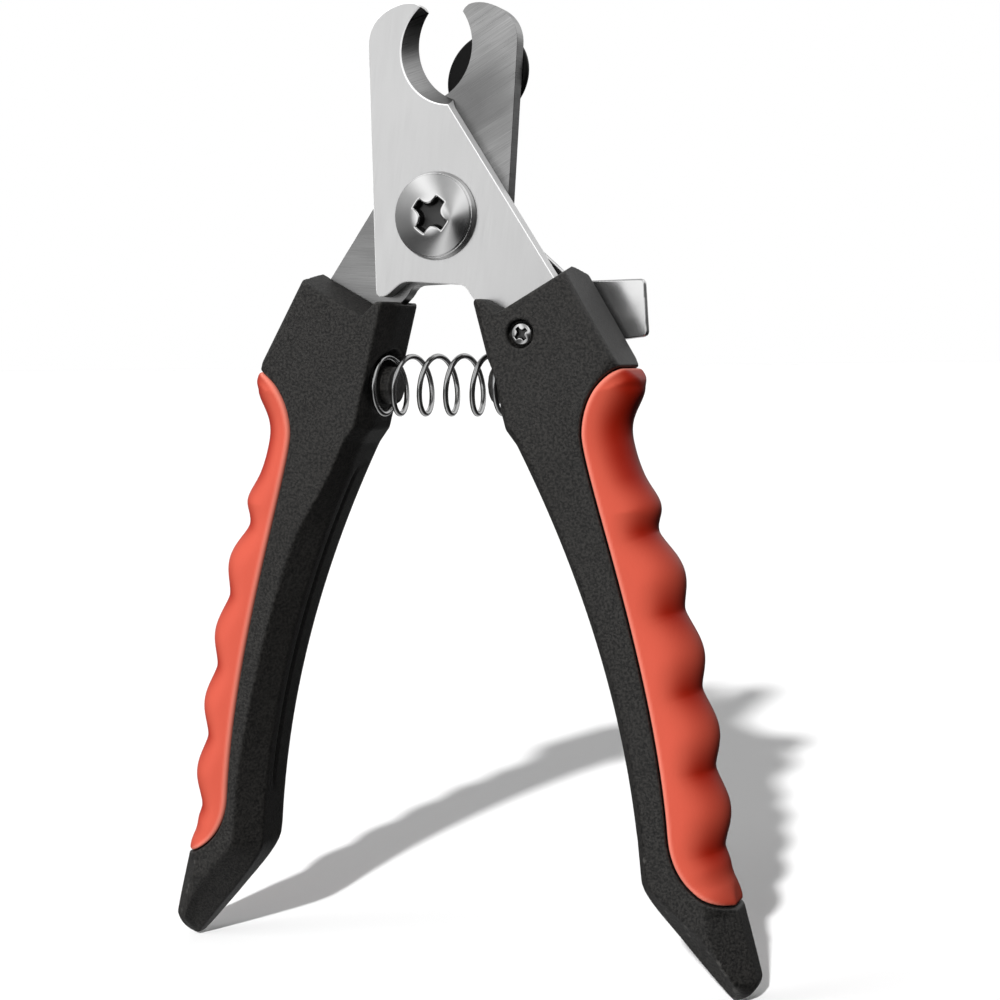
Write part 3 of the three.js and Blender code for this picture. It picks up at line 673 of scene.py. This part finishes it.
def handle_body(x, y, z):
    """The whole handle's outer form, plastic and grip together.

    The outer side is rounded where it is gripped and faceted at the toe, the inner side is chamfered, and
    wider on the back (y > 0) than on the front."""
    s = -z
    deep = -HANDLE(x, z)
    side = half_thickness(s) - np.abs(y)
    gripped = step_between(s, 24.5, 30) * (1 - step_between(s, 112, 119))
    toe = step_between(s, 110, 124)
    rx, ry = lerp(1.5, 6.5, gripped), lerp(1.6, 7.0, gripped)
    qa, qb = np.maximum(1 - deep / rx, 0), np.maximum(1 - side / ry, 0)
    far = (np.sqrt(qa * qa + qb * qb) - 1) * (qa * rx + qb * ry) / (qa + qb + 1e-9)
    cheek = np.where((qa > 0) | (qb > 0), far, -np.minimum(deep, side))
    edged = smax(-deep, -side, 0.4)
    thin = half_thickness(s) / HALF
    facet = (1 - (deep / FACET_IN + side / FACET_BACK) / thin) * FACET_CUT * thin
    cheek = lerp(cheek, smax(edged, facet, 0.4), step_between(s, 112, 118))
    wide = lerp(1.5, 3.4, step_between(s, 44, 58)) + 0.6 * step_between(s, 80, 105)
    cx = lerp(np.where(y > 0, wide, 1.5 + 0.3 * step_between(s, 60, 90)), 5.6, toe)
    cy = lerp(np.where(y > 0, 4.4, 2.3), 4.6, toe) * thin
    chamfer = (1 - deep / cx - side / cy) * cx * cy / np.hypot(cx, cy)
    inside = smax(edged, chamfer, 0.35)
    middle = (inner_side(s) + outer_side(s)) / 2
    across = step_between((x - middle) / (0.5 * (outer_side(s) - inner_side(s)) + 0.1), -0.5, 0.5)
    return lerp(inside, cheek, across)


def turned_about_pivot(x, z, angle):
    return x * math.cos(angle) - z * math.sin(angle), x * math.sin(angle) + z * math.cos(angle)


def handle_core(turn):
    """The plastic's field. Before its half turn, the left handle's slot leans the other way."""
    def field(x, y, z):
        s = -z
        body = handle_body(x, y, z)
        region = GRIP_REGION(x, z)
        solid = smin(smax(body, 0.22 - region, 0.4), body + GRIP_BED, 0.1)
        roof = SHOULDER(x, z - ROOF * (HALF - np.abs(y)))
        solid = smax(solid, -smin(roof, WEDGE(x, z), 0.15), 0.3)
        from_axis = np.hypot(y, z + SPRING_DROP)
        seat = smax(from_axis - SEAT_R, x - SEAT, 0.3)
        solid = smax(solid, -seat, 0.4)
        deep = -HANDLE(x, z)
        along = step_between(s, 43, 47) * (1 - step_between(s, 101, 105))
        groove = deep - GROOVE * (1 - np.abs(y) / GROOVE) * along
        solid = smax(solid, -np.where(x < (inner_side(s) + outer_side(s)) / 2, groove, 9), 0.3)
        peg = smax(from_axis - PEG_R, np.maximum(PEG_END - x, x - PEG_ROOT), 0.6)
        solid = smin(solid, peg, 0.3)
        sx, sz = turned_about_pivot(x, z, LEAN * -turn)
        slot = np.maximum(TANG_SLOT(sx, sz), np.maximum(SLOT_FRONT - y, y - SLOT_BACK))
        solid = smax(solid, -slot, 0.1)
        off = np.hypot(x - SCREW_X, z + SCREW_S)
        bore = np.maximum(off - BORE_R, y - SCREW_SEAT)
        solid = smax(solid, -bore, 0.25)
        return np.maximum(solid, -np.maximum(off - PILOT_R, y - PILOT_END))
    return field


def grip_field(x, y, z):
    """The rubber: the outer form's skin, within the grip's edge."""
    body = handle_body(x, y, z)
    region = GRIP_REGION(x, z)
    return smax(smax(body, region, 0.9), -(body + GRIP_SKIN), 0.3)


def paint_grip_shade_and_highlight(obj, turn):
    """Paints shade into the rubber's colour, on faces that turn outward and most between the fingers,
    and a painted highlight as a pale line just inside the grip's rim.
    """
    count = len(obj.data.vertices)
    at, facing = np.empty(count * 3), np.empty(count * 3)
    obj.data.vertices.foreach_get("co", at)
    obj.data.vertex_normals.foreach_get("vector", facing)
    at, facing = at.reshape(-1, 3), facing.reshape(-1, 3)
    s = -(at[:, 2] - PIVOT.z) / MM
    across = turn * (at[:, 0] - PIVOT.x) / MM
    outward = facing[:, 0] * turn
    valley = 1 - finger_wave(s) * step_between(s, 44, 52)
    # painted shade: faces turned outward get some, the valleys between the fingers the most
    hollow = step_between(outward, 0.3, 0.85) * (0.25 + 0.75 * valley)
    # painted highlight: a pale line just inside the grip's rim, on faces that don't turn outward
    rim_highlight = 0.6 * step_between(GRIP_REGION(across, -s), -1.1, -0.3) * step_between(0.8 - outward, 0, 0.3)
    for name, amount in (("hollow", hollow), ("rim_highlight", rim_highlight)):
        attribute = obj.data.attributes.new(name, "FLOAT", "POINT")
        attribute.data.foreach_set("value", amount.astype(np.float32))


HANDLE_LOW, HANDLE_HIGH = (6.0, -7.6, -133.6), (58.4, 7.6, -7.4)
GRIP_LOW, GRIP_HIGH = (25.5, -7.6, -118), (56.4, 7.6, -24)
HANDLE_STEP = 0.4
SIDES = (("right", RIGHT, 1), ("left", LEFT, -1))
for side, body, turn in SIDES:
    moulded(f"{side}_handle_moulding", handle_core(turn), HANDLE_LOW, HANDLE_HIGH, HANDLE_STEP, body,
            [PLASTIC], [f"{side}_handle"], turn)
    grip = moulded(f"{side}_soft_grip", grip_field, GRIP_LOW, GRIP_HIGH, HANDLE_STEP, body,
                   [RUBBER], [f"{side}_grip"], turn)
    paint_grip_shade_and_highlight(grip, turn)


# ---------------------------------------------------------------- blades

EDGE_X, EDGE_SLOPE, BLADE_TOP, BLADE_CORNER = 12.05, 0.046, 36.3, 7.0
DIAGONAL_X, DIAGONAL_SLOPE, BLADE_BOTTOM = 14.75, 0.68, 11.8
# The notch is a cone: x, z and radius on the face that slides on the other blade, and on the outer face.
NOTCH_CUT, NOTCH_FACE = (4.7, 29.3, 9.7), (2.2, 28.2, 9.35)
SHEET, SLIDE = 3.0, 0.05               # the depths of those faces: outer, and sliding
BEVEL, SLIDE_BEVEL = 0.15, 0.06
PIVOT_HOLE_R, SCREW_HOLE_R = 4.1, 1.75
RIM_POINTS, NOTCH_POINTS = 260, 90


def blade_outline():
    """The plate's outline before the notch is cut, clockwise from its lower left corner."""
    def edge(z):
        return -(EDGE_X + EDGE_SLOPE * z)

    def diagonal(z):
        return DIAGONAL_X - DIAGONAL_SLOPE * z
    p = [(edge(-13), -13), (edge(BLADE_TOP - BLADE_CORNER), BLADE_TOP - BLADE_CORNER)]
    p += cubic_points(p[-1], (edge(33), 33.4), (edge(34) + 3.2, 35.6), (-7.0, BLADE_TOP), 24)
    p += arc_points(p[-1], (-3.6, BLADE_TOP + 0.4), (-3.3, 35.1), 14)
    p += [(-1, 33), (diagonal(18.9), 18.9), (diagonal(-12), -12)]
    p += arc_points(p[-1], (24.4, -15.5), (25.2, -26), 8)
    p += [(27.6, -48), (23.6, -50)]
    p += arc_points(p[-1], (18.4, -34), (12.9, -20.5), 8)
    p += [(9.6, -16.6), (6.6, -13.6)]
    p += arc_points(p[-1], (5.8, -BLADE_BOTTOM), (4.4, -BLADE_BOTTOM), 8)
    p += [(-5.2, -BLADE_BOTTOM + 0.5)]
    p += arc_points(p[-1], (-6.6, -BLADE_BOTTOM + 0.5), (-7.6, -12.3), 8)
    p += [(-9.2, -13.6)]
    p += arc_points(p[-1], (-10.7, -14.4), (-11.3, -13.6), 8)
    return np.array(p)


def notch_at(y):
    """The notch's centre and radius at depth y."""
    blend = (-SLIDE - y) / (SHEET - SLIDE)
    return (lerp(a, b, blend) for a, b in zip(NOTCH_CUT, NOTCH_FACE))


def notched(y):
    """The blade's outline at depth y: the notch's arc first, then the rest of the rim."""
    cx, cz, r = notch_at(y)
    ring = blade_outline()
    dense = []
    for a, b in zip(ring, np.roll(ring, -1, 0)):
        count = max(1, int(np.linalg.norm(b - a) / 0.25))
        dense += [a + (b - a) * k / count for k in range(count)]
    dense = np.array(dense)
    out = np.hypot(dense[:, 0] - cx, dense[:, 1] - cz) > r
    leaves = [k for k in range(len(out)) if not out[k - 1] and out[k]][0]
    rest = np.roll(dense, -leaves, 0)
    outside = np.roll(out, -leaves)
    run = rest[:int(np.argmin(outside))] if not outside.all() else rest

    def meet(inner, outer):
        lo, hi = 0.0, 1.0
        for _ in range(30):
            mid = (lo + hi) / 2
            p = inner + (outer - inner) * mid
            lo, hi = (mid, hi) if np.hypot(p[0] - cx, p[1] - cz) < r else (lo, mid)
        return inner + (outer - inner) * hi
    first = meet(rest[-1], rest[0])
    last = meet(rest[len(run)], run[-1])
    start = math.atan2(last[1] - cz, last[0] - cx) % (2 * math.pi)
    end = math.atan2(first[1] - cz, first[0] - cx) % (2 * math.pi)
    if end < start:
        end += 2 * math.pi
    angles = np.linspace(start, end, NOTCH_POINTS)
    bite = np.stack([cx + r * np.cos(angles), cz + r * np.sin(angles)], 1)
    path = np.vstack([first, run, last])
    along = np.concatenate([[0], np.cumsum(np.linalg.norm(np.diff(path, axis=0), axis=1))])
    want = np.linspace(0, along[-1], RIM_POINTS + 2)[1:-1]
    rim = np.stack([np.interp(want, along, path[:, k]) for k in (0, 1)], 1)
    return np.vstack([bite, rim])


def inset(ring, amount):
    """The closed ring of points moved inward."""
    ahead, behind = np.roll(ring, -1, 0) - ring, ring - np.roll(ring, 1, 0)
    ahead /= np.maximum(np.linalg.norm(ahead, axis=1), 1e-9)[:, None]
    behind /= np.maximum(np.linalg.norm(behind, axis=1), 1e-9)[:, None]
    normal = np.stack([ahead[:, 1] + behind[:, 1], -ahead[:, 0] - behind[:, 0]], 1)
    normal /= np.maximum(np.linalg.norm(normal, axis=1), 1e-9)[:, None]
    area = (ring[:, 0] * np.roll(ring[:, 1], -1) - np.roll(ring[:, 0], -1) * ring[:, 1]).sum()
    return ring - normal * amount * (1 if area > 0 else -1)


def cylinder_cutter(x, z, radius, y0, y1, sides=96):
    angle = np.linspace(0, 2 * math.pi, sides, endpoint=False)
    ring = [(x + radius * math.cos(a), z + radius * math.sin(a)) for a in angle]
    points = [(u, y, v) for y in (y0, y1) for u, v in ring]
    faces = [tuple(range(sides)), tuple(range(2 * sides - 1, sides - 1, -1))]
    faces += [(k, k + sides, (k + 1) % sides + sides, (k + 1) % sides) for k in range(sides)]
    return points, faces


def cut(obj, cutters):
    """Takes the cutters out of obj's mesh and leaves no modifier behind."""
    made = []
    for points, faces in cutters:
        mesh = bpy.data.meshes.new("cutter")
        mesh.from_pydata((np.array(points) * MM + np.array(PIVOT)).tolist(), [], faces)
        tool = bpy.data.objects.new("cutter", mesh)
        bpy.context.collection.objects.link(tool)
        modifier = obj.modifiers.new("cut", "BOOLEAN")
        modifier.operation = "DIFFERENCE"
        modifier.solver = "EXACT"
        modifier.object = tool
        made.append(tool)
    graph = bpy.context.evaluated_depsgraph_get()
    result = bpy.data.meshes.new_from_object(obj.evaluated_get(graph))
    obj.modifiers.clear()
    obj.data = result
    for tool in made:
        bpy.data.objects.remove(tool)


def blade(name, body, node, turn):
    """A lofted plate with a bevelled rim, except along the notch's cutting edge."""
    depths = (-SHEET, -SHEET + BEVEL, -2.2, -1.4, -0.7, -SLIDE - SLIDE_BEVEL, -SLIDE)
    rings = []
    for y in depths:
        ring = notched(y)
        if y == depths[0]:
            ring = inset(ring, BEVEL)
        if y == depths[-1]:
            ring[NOTCH_POINTS:] = inset(ring, SLIDE_BEVEL)[NOTCH_POINTS:]
        rings.append(np.stack([ring[:, 0], np.full(len(ring), y), ring[:, 1]], 1))
    count = len(rings[0])
    points = np.vstack(rings)
    faces = [tuple(range(count)), tuple(range(len(points) - 1, len(points) - count - 1, -1))]
    for level in range(len(rings) - 1):
        for k in range(count):
            a, b = level * count + k, level * count + (k + 1) % count
            faces.append((a, a + count, b + count, b))
    angle = LEAN * turn
    points[:, 0], points[:, 2] = turned_about_pivot(points[:, 0], points[:, 2], angle)
    steels = [SATIN, GROUND, NOTCH_GROUND, EDGE_HIGHLIGHT]
    obj = piece(name, points * np.array([turn, turn, 1]), faces, None, steels, [node])
    cut(obj, [cylinder_cutter(0, 0, PIVOT_HOLE_R, -5, 5),
              cylinder_cutter(SCREW_X * turn, -SCREW_S, SCREW_HOLE_R, -5, 5, 48)])
    satin, ground, notch, edge = range(len(steels))
    mesh = obj.data
    for polygon in mesh.polygons:
        c = (Vector(polygon.center) - PIVOT) / MM
        local = Vector((c.x * turn, c.y * turn, c.z))
        bx, bz = turned_about_pivot(local.x, local.z, -angle)
        cx, cz, r = notch_at(local.y)
        tilt, rightward = abs(polygon.normal.y), polygon.normal.x * turn
        if tilt > 0.95:
            polygon.material_index = ground if local.y > -0.5 else satin
        # painted highlight: the bevel round the outer face
        elif local.y < -SHEET + BEVEL and tilt > 0.3:
            polygon.material_index = edge
        elif abs(math.hypot(bx - cx, bz - cz) - r) < 0.3:
            polygon.material_index = notch
        # painted highlight: walls that face right before the half turn, such as the front blade's diagonal
        # wall
        elif rightward > 0.3:
            polygon.material_index = edge
        else:
            polygon.material_index = ground if rightward < -0.3 else satin
    mesh.shade_smooth()
    mesh.set_sharp_from_angle(angle=math.radians(24))
    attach(obj, body)


blade("front_blade_plate", RIGHT, "blade_front", 1)
blade("rear_blade_plate", LEFT, "blade_rear", -1)


# ---------------------------------------------------------------- pivot, screws, nut and washer

def cross_recess(x, z, turn, reach, half, depth):
    """A cross recess, flared towards its tips and narrower the deeper it goes. Negative inside."""
    u = x * math.cos(turn) + z * math.sin(turn)
    v = -x * math.sin(turn) + z * math.cos(turn)
    arms = []
    for a, b in ((u, v), (v, u)):
        wide = half * (0.85 + 0.3 * np.abs(a) / reach) - 0.1 * depth
        arms.append(smax(np.abs(b) - wide, np.abs(a) - reach + 0.3 * depth, half * 0.3))
    return smin(arms[0], arms[1], half * 2.8)


HEAD_BASE, HEAD_R, HEAD_RIM, RIM_R, DOME = -3.15, 7.65, 1.05, 7.3, 1.6
DOME_R, DOME_POWER = 7.5, 2.3
PIVOT_SHANK_R, PIVOT_SHANK_END = 2.85, 9.35
RECESS_TURN, RECESS_REACH, RECESS_HALF, RECESS_FLOOR = 0.916, 3.3, 0.82, 0.9


def pivot_recess(x, z, up):
    cross = cross_recess(x, z, RECESS_TURN, RECESS_REACH, RECESS_HALF, HEAD_RIM + DOME - up)
    return smax(cross, RECESS_FLOOR - up, 0.3)


def pivot_screw_field(x, y, z):
    r = np.hypot(x, z)
    up = HEAD_BASE - y
    wall = r - (HEAD_R - (HEAD_R - RIM_R) * np.clip(up / HEAD_RIM, 0, 1))
    out = np.minimum(r / DOME_R, 1)
    top = up - HEAD_RIM - 0.12 - DOME * (1 - out ** DOME_POWER)
    top = top / np.sqrt(1 + (DOME * DOME_POWER / DOME_R * out ** (DOME_POWER - 1)) ** 2)
    rim = smax(wall, up - HEAD_RIM, 0.15)
    cap = smax(r - (RIM_R - 0.28), top, 0.1)
    head = smax(smin(rim, cap, 0.12), -up, 0.15)
    head = smax(head, -pivot_recess(x, z, up), 0.3)
    shank = smax(r - PIVOT_SHANK_R, y - PIVOT_SHANK_END, 0.4)
    return smin(head, smax(shank, HEAD_BASE - 0.3 - y, 0.1), 0.2)


def paint_recess_shade(obj, is_inside, turn=1):
    """The recess's walls and floor, where is_inside holds, get a rough steel that is painted dark: painted
    shade.
    """
    for polygon in obj.data.polygons:
        c = (Vector(polygon.center) - PIVOT) / MM
        if is_inside(c.x * turn, c.y * turn, c.z):
            polygon.material_index = 1


pivot_screw = moulded("pivot_screw_turned", pivot_screw_field, (-7.9, -6.2, -7.9), (7.9, 9.7, 7.9), 0.15,
                      RIGHT, [TURNED, RECESS_SHADE], ["pivot_screw"])
paint_recess_shade(pivot_screw, lambda x, y, z: pivot_recess(x, z, HEAD_BASE - y) < 0.12 and HEAD_BASE - y < 2.35)

SMALL_BASE, SMALL_HEAD, SMALL_HEAD_R, SMALL_SHANK_R, SMALL_END = -HALF + 1.6, 1.2, 1.95, 1.38, 5.2


def screw_recess(dx, dz, up):
    return smax(cross_recess(dx, dz, 0.62, 1.3, 0.3, SMALL_HEAD - up), 0.35 - up, 0.1)


def handle_screw_field(x, y, z):
    dx, dz = x - SCREW_X, z + SCREW_S
    r = np.hypot(dx, dz)
    up = SMALL_BASE - y
    head = smax(smax(r - SMALL_HEAD_R, up - SMALL_HEAD + 0.09 * r * r, 0.35), -up, 0.1)
    head = smax(head, -screw_recess(dx, dz, up), 0.12)
    shank = smax(r - SMALL_SHANK_R, np.maximum(y - SMALL_END, SMALL_BASE - 0.2 - y), 0.3)
    return smin(head, shank, 0.1)


for side, body, turn in SIDES:
    screw = moulded(f"{side}_handle_screw_turned", handle_screw_field, (SCREW_X - 2.2, -7.1, -SCREW_S - 2.2),
                    (SCREW_X + 2.2, 5.5, -SCREW_S + 2.2), 0.09, body, [CHROME, RECESS_SHADE],
                    [f"{side}_handle_screw"], turn)
    paint_recess_shade(screw, lambda x, y, z: screw_recess(x - SCREW_X, z + SCREW_S, SMALL_BASE - y) < 0.07
                  and SMALL_BASE - y < 1.0, turn)

NUT_LOW, NUT_HIGH, NUT_FLATS, NUT_BORE_R = 5.7, 9.1, 8.0, 2.98
NYLON_R, NYLON_LOW = 3.75, 7.5         # the recess that holds the nylon ring


def nut_field(x, y, z):
    r = np.hypot(x, z)
    flats = np.full(np.shape(x), -1e9)
    for k in range(3):
        angle = math.pi / 6 + k * math.pi / 3
        flats = np.maximum(flats, np.abs(x * math.cos(angle) + z * math.sin(angle)) - NUT_FLATS / 2)
    ends = np.maximum(NUT_LOW - y, y - NUT_HIGH)
    chamfer = (r + np.maximum(y - NUT_HIGH, NUT_LOW - y) * 1.7 - 3.98) / 1.97
    outside = smax(smax(flats, ends, 0.15), chamfer, 0.1)
    seat = smax(r - NYLON_R, NYLON_LOW - y, 0.1)
    return smax(smax(outside, NUT_BORE_R - r, 0.2), -seat, 0.2)


moulded("lock_nut_chamfered", nut_field, (-4.9, 5.4, -4.9), (4.9, 9.4, 4.9), 0.14, RIGHT,
        [POLISHED], ["lock_nut"])


# ---------------------------------------------------------------- nail stop

GUARD_SHEET, GUARD_FRONT, TAIL_BACK, ARM_BACK = 1.1, 3.75, 7.35, 5.3
HUB_R, HUB_BORE_R, RIVET_HOLE_R = 6.6, 4.15, 1.25
TAIL_BEND, TAIL_RUN, ARM_BEND, ARM_RUN = 8.6, 4.8, 9, 3     # where each bend starts, and how long it is
PAD_X, PAD_Z, PAD_FRONT, PAD_THICK = 6.8, 23.9, 3.35, 1.75
PAD_LONG, PAD_SHORT = 8.1, 7.1         # the oval's half axes
TAIL_WAY = np.array([29.5, -15.2]) / math.hypot(29.5, 15.2)
ARM_WAY = np.array([PAD_X, PAD_Z]) / math.hypot(PAD_X, PAD_Z)

TAIL = [(1.5, 6.4), (21.5, -11.4), (33.4, -11.3)]
TAIL += arc_points(TAIL[-1], (34.3, -11.3), (34.35, -12.2))
TAIL += [(34.8, -20.2)]
TAIL += arc_points(TAIL[-1], (34.8, -21.2), (33.8, -21.3))
TAIL += [(22, -22.6), (14, -16.3), (-2.8, -6.0)]
ARM = [(-5.6, 3.4), (0.6, 21), (3.4, 28.6), (9.0, 28.6), (10.4, 20), (5.8, -3.2)]
TAIL_OUTLINE, ARM_OUTLINE = (Outline(points, (-14, -28), (40, 34), 0.2) for points in (TAIL, ARM))


def guard_field(x, y, z):
    """A sheet lever that steps back twice as it leaves the pivot, towards its tab and towards the pad."""
    plan = smin(smin(TAIL_OUTLINE(x, z), ARM_OUTLINE(x, z), 0.8), np.hypot(x, z) - HUB_R, 1.0)
    plan = smax(plan, HUB_BORE_R - np.hypot(x, z), 0.2)
    plan = smax(plan, RIVET_HOLE_R - np.hypot(x - PAD_X, z - PAD_Z), 0.1)
    tail = x * TAIL_WAY[0] + z * TAIL_WAY[1]
    arm = x * ARM_WAY[0] + z * ARM_WAY[1]
    t, a = np.clip((tail - TAIL_BEND) / TAIL_RUN, 0, 1), np.clip((arm - ARM_BEND) / ARM_RUN, 0, 1)
    rise, lift = TAIL_BACK - GUARD_FRONT, ARM_BACK - GUARD_FRONT
    front = GUARD_FRONT + rise * t * t * (3 - 2 * t) + lift * a * a * (3 - 2 * a)
    steep = np.hypot(rise * 6 * t * (1 - t) / TAIL_RUN, lift * 6 * a * (1 - a) / ARM_RUN)
    through = (np.abs(y - front - GUARD_SHEET / 2) - GUARD_SHEET / 2) / np.sqrt(1 + 0.4 * steep * steep)
    return smax(plan, through, 0.3)


moulded("nail_stop_lever", guard_field, (-7.4, 3.3, -23.4), (35.8, 9.0, 29.6), 0.27, STOP,
        [POLISHED], ["guard_lever"])


def pad_field(x, y, z):
    """A slightly oval pad, longest from lower left to upper right, with a rounded rim."""
    dx, dz = x - PAD_X - 0.2, z - PAD_Z - 0.2
    along, across = 0.66 * dx + 0.75 * dz, 0.75 * dx - 0.66 * dz
    oval = (np.hypot(along / PAD_LONG, across / PAD_SHORT) - 1) * 7.5
    disc = smax(oval, np.maximum(PAD_FRONT - y, y - PAD_FRONT - PAD_THICK), 0.8)
    return smax(disc, RIVET_HOLE_R - np.hypot(x - PAD_X, z - PAD_Z), 0.1)


moulded("stop_pad_moulding", pad_field,
        (PAD_X - 8.6, 3.0, PAD_Z - 8.6), (PAD_X + 8.6, 5.5, PAD_Z + 8.8), 0.2, STOP,
        [PAD], ["guard_pad"])


def rivet_field(x, y, z):
    r = np.hypot(x - PAD_X, z - PAD_Z)
    back = ARM_BACK + GUARD_SHEET
    stem = smax(r - 1.05, np.maximum(PAD_FRONT + 0.2 - y, y - back - 0.3), 0.2)
    dome = smax(r - 2.1, np.maximum(back + 0.15 - y, y - back - 1.05 + 0.13 * r * r), 0.2)
    return smin(stem, dome, 0.1)


moulded("stop_rivet_formed", rivet_field, (PAD_X - 2.4, 3.2, PAD_Z - 2.4), (PAD_X + 2.4, 7.8, PAD_Z + 2.4),
        0.1, STOP, [POLISHED], ["guard_rivet"])


# ---------------------------------------------------------------- return spring

COIL_REACH, COIL_R, WIRE, TURNS, CLOSED, PHASE = 12.15, 5.05, 0.95, 5.93, 0.75, 1.257


def coil_centre(turn):
    """The wire's centre line, with its end turns laid together."""
    dead = WIRE * 1.15
    pitch = (2 * COIL_REACH - 2 * dead) / (TURNS - 2 * CLOSED)
    x = (-COIL_REACH + np.minimum(turn, CLOSED) * dead / CLOSED
         + np.maximum(0, np.minimum(turn, TURNS - CLOSED) - CLOSED) * pitch
         + np.maximum(0, turn - TURNS + CLOSED) * dead / CLOSED)
    angle = turn * 2 * math.pi - PHASE
    return np.stack([x, -COIL_R * np.sin(angle), -SPRING_DROP - COIL_R * np.cos(angle)], 1)


def spring():
    steps, sides = 520, 20
    turn = np.linspace(0, TURNS, steps)
    centre = coil_centre(turn)
    for _ in range(6):      # softens the corners where the pitch changes
        centre[1:-1, 0] = (centre[:-2, 0] + 2 * centre[1:-1, 0] + centre[2:, 0]) / 4
    ahead = np.gradient(centre, axis=0)
    ahead /= np.linalg.norm(ahead, axis=1)[:, None]
    angle = turn * 2 * math.pi - PHASE
    out = np.stack([np.zeros(steps), -np.sin(angle), -np.cos(angle)], 1)
    out -= ahead * (ahead * out).sum(1)[:, None]
    out /= np.linalg.norm(out, axis=1)[:, None]
    aside = np.cross(ahead, out)
    around = np.linspace(0, 2 * math.pi, sides, endpoint=False)
    section = (out[:, None] * np.cos(around)[None, :, None] + aside[:, None] * np.sin(around)[None, :, None])
    points = (centre[:, None] + WIRE / 2 * section).reshape(-1, 3)
    faces = []
    for start in range(0, (steps - 1) * sides, sides):
        for a, b in zip(range(sides), [*range(1, sides), 0]):
            faces.append((start + a, start + b, start + sides + b, start + sides + a))
    faces.append(tuple(range(sides - 1, -1, -1)))
    faces.append(tuple((steps - 1) * sides + k for k in range(sides)))
    obj = piece("return_spring_coil", points, faces, None, [SPRING_WIRE], ["return_spring"],
                smooth_angle=50)
    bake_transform(obj)


spring()


# ---------------------------------------------------------------- CAD nodes that show as they are

for node, finish in (("right_screw_insert", BRASS), ("left_screw_insert", BRASS), ("pivot_bush", BRASS),
                     ("wave_washer", POLISHED), ("pivot_washer", POLISHED), ("nut_insert", NYLON)):
    obj = frame["nodes"][node]
    obj.data.materials.clear()
    obj.data.materials.append(finish)
